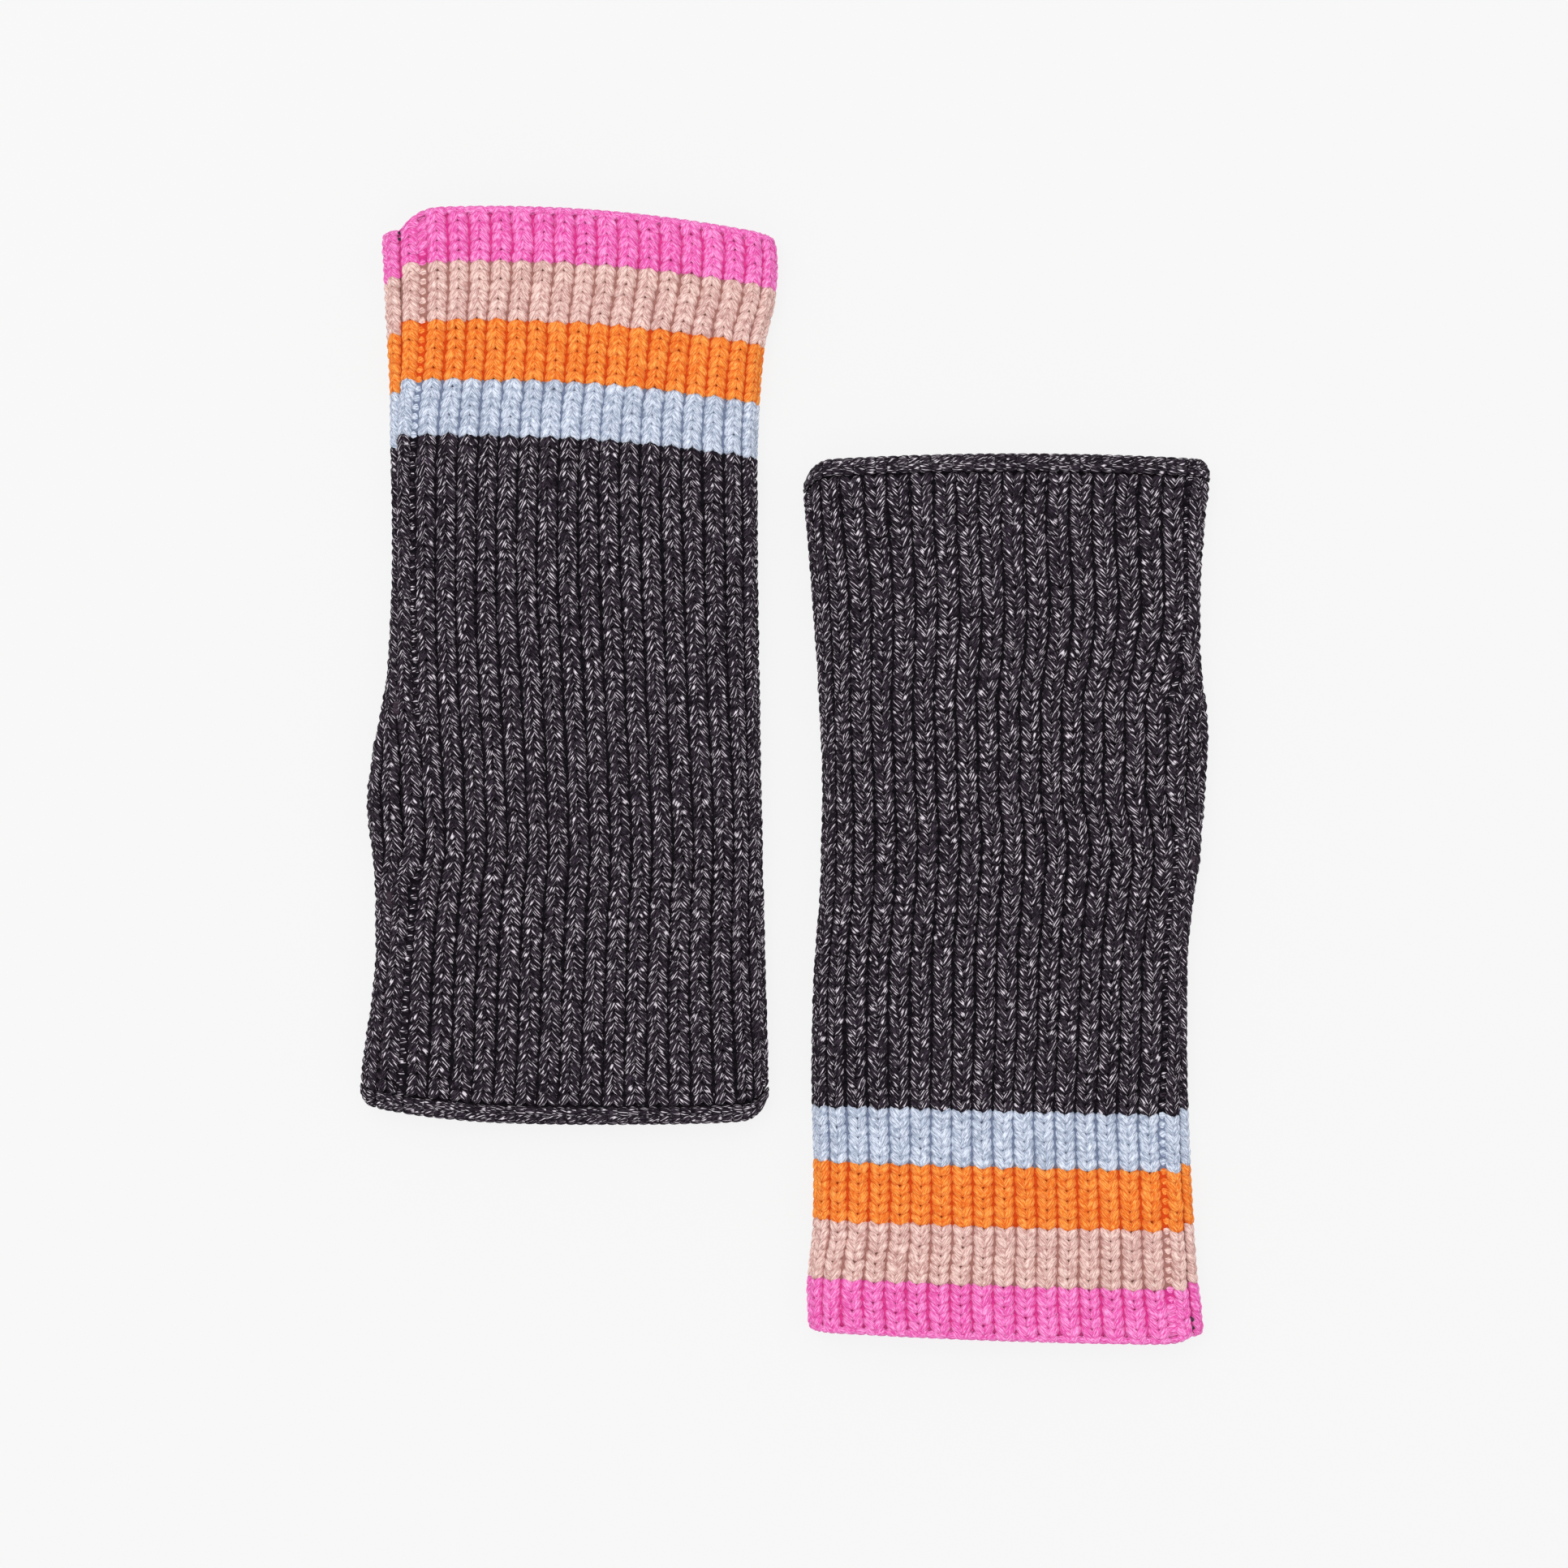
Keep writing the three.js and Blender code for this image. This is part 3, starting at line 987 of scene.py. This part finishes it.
def sewSeam(side, glove):
    rows = emptyRows()
    slitFrom, slitTo = glove["slit"]
    length = gloveLengthOf(glove)
    run = sewing["start"]
    while run < length - sewing["endGap"]:
        if not slitFrom - sewing["slitGap"] < run < slitTo + sewing["slitGap"]:
            lift = sewing["rimLift"] if run < sewing["rimReach"] else sewing["cuffLift"]
            if run > cuffLength:
                lift = sewing["handLift"]
            middle = knit["seamOff"] + sewing["off"] + flapAt(glove, run)
            off = middle + rng.normal(0, sewing["offSpread"])
            angle = math.radians(sewing["lean"] + rng.normal(0, sewing["leanSpread"]))
            addLength(rows, sewing, 0, off, run, angle, lift)
        run += sewing["pitch"]
    return layStitches(side + "SeamYarn", glove, rows)


tacks = {"wraps": 5, "pitch": 0.6, "fromSlit": 1.5, "tilt": 0.15, "long": 1.7, "wide": 0.38, "thick": 0.4,
         "lift": -0.75, "dip": 0.5}


def sewTacks(side, glove):
    # wraps side by side that close each end of the slit
    rows = emptyRows()
    slitFrom, slitTo = glove["slit"]
    for middle in (slitFrom - tacks["fromSlit"], slitTo + tacks["fromSlit"]):
        for k in range(tacks["wraps"]):
            run = middle + (k - tacks["wraps"] // 2) * tacks["pitch"]
            off = knit["seamOff"] + sewing["off"] + flapAt(glove, run)
            addLength(rows, tacks, 0, off, run, rng.normal(0, tacks["tilt"]), tacks["lift"])
    return layStitches(side + "ThumbTacks", glove, rows)


# The other pieces in yarn, in the order they are worked
yarnPieces = {
    "fingers": (finishFingers, "charcoal", "hand", ["finger_edge"]),
    "wrist": (castOnWrist, "pink", "cuff", ["wrist_edge"]),
    "seam": (sewSeam, "sewing", "fold", ["cuff_seam", "wrist_seam", "finger_seam"]),
    "tacks": (sewTacks, "sewing", "hand", ["thumb_tack_wrist", "thumb_tack_fingers"]),
}

# What lies on each band's fabric
onFabric = {
    "pink": ["pink", "wrist"],
    "sand": ["sand"],
    "orange": ["orange"],
    "lightBlue": ["lightBlue"],
    "charcoal": ["handFront", "handBack", "fingers", "seam", "tacks"],
}


def buildGlove(side, glove):
    for key, rows in knitGlove(glove).items():
        title, yarn, rides, nodes = ribPieces[key]
        piece = layStitches(side + title, glove, rows)
        piece.data.materials.append(yarnMaterials[yarn])
        handOver(side, piece, rides, nodes)
        print(piece.name, len(rows["run"]), "legs", len(piece.data.polygons), "faces")
    for key, (work, yarn, rides, nodes) in yarnPieces.items():
        piece = work(side, glove)
        piece.data.materials.append(yarnMaterials[yarn])
        handOver(side, piece, rides, nodes)
    lengths = dict(bands)
    start, end = -fabric["wristInside"], 0
    for yarn, on in onFabric.items():
        end += lengths.get(yarn, 0)
        if yarn == "charcoal":
            end = gloveLengthOf(glove) + fabric["fingersInside"]
        sheet = layFabric(side + yarn[0].upper() + yarn[1:] + "Fabric", glove, start, end)
        sheet.data.materials.append(insideMaterials[yarn])
        handOver(side, sheet, "cuff" if yarn in ("pink", "sand") else "fold")
        start = end
    print(side, "glove built")


for side, glove in gloves.items():
    buildGlove(side, glove)


# Floor, light and camera

studio = {"floorSize": 6, "floorDrop": 0.0002, "floorTone": 0.08, "floorGlow": 0.84,
          "worldStrength": 0.92, "keyPower": 10.5, "keyPlace": (-0.25, 0.35, 1.7), "keySize": 0.9}

deselectAll()
bpy.ops.mesh.primitive_plane_add(size=studio["floorSize"], location=(0, 0, -studio["floorDrop"]))
floor = bpy.context.object
floor.name = "floor"
floorMaterial = bpy.data.materials.new("paleFloor")
floorMaterial.use_nodes = True
floorShader = floorMaterial.node_tree.nodes["Principled BSDF"]
floorShader.inputs["Base Color"].default_value = (studio["floorTone"],) * 3 + (1,)
floorShader.inputs["Roughness"].default_value = 1
floorShader.inputs["Specular IOR Level"].default_value = 0
floorShader.inputs["Emission Color"].default_value = (1, 1, 1, 1)
floorShader.inputs["Emission Strength"].default_value = studio["floorGlow"]
floor.data.materials.append(floorMaterial)

world = bpy.data.worlds.new("softRoom")
scene.world = world
world.use_nodes = True
room = world.node_tree.nodes["Background"]
room.inputs["Color"].default_value = (1, 1, 1, 1)
room.inputs["Strength"].default_value = studio["worldStrength"]

keyLight = bpy.data.lights.new("keyLight", "AREA")
keyLight.energy = studio["keyPower"]
keyLight.size = studio["keySize"]
key = bpy.data.objects.new("keyLight", keyLight)
keyX, keyY, keyZ = studio["keyPlace"]
key.location = (keyX, keyY, keyZ)
key.rotation_euler = (-math.atan2(keyY, keyZ), math.atan2(keyX, keyZ), 0)
scene.collection.objects.link(key)

# Straight down; "across" is what the camera sees from side to side at planeHeight
view = {"lens": 100, "sensor": 36, "across": 386.4, "planeHeight": 10, "centre": (0.1, -2.1)}
cameraData = bpy.data.cameras.new("camera")
cameraData.lens = view["lens"]
cameraData.sensor_width = view["sensor"]
camera = bpy.data.objects.new("camera", cameraData)
centreX, centreY = view["centre"]
distance = view["across"] * view["lens"] / view["sensor"]
camera.location = (centreX * mm, centreY * mm, (distance + view["planeHeight"]) * mm)
scene.collection.objects.link(camera)
scene.camera = camera
print("floor, light and camera ready")
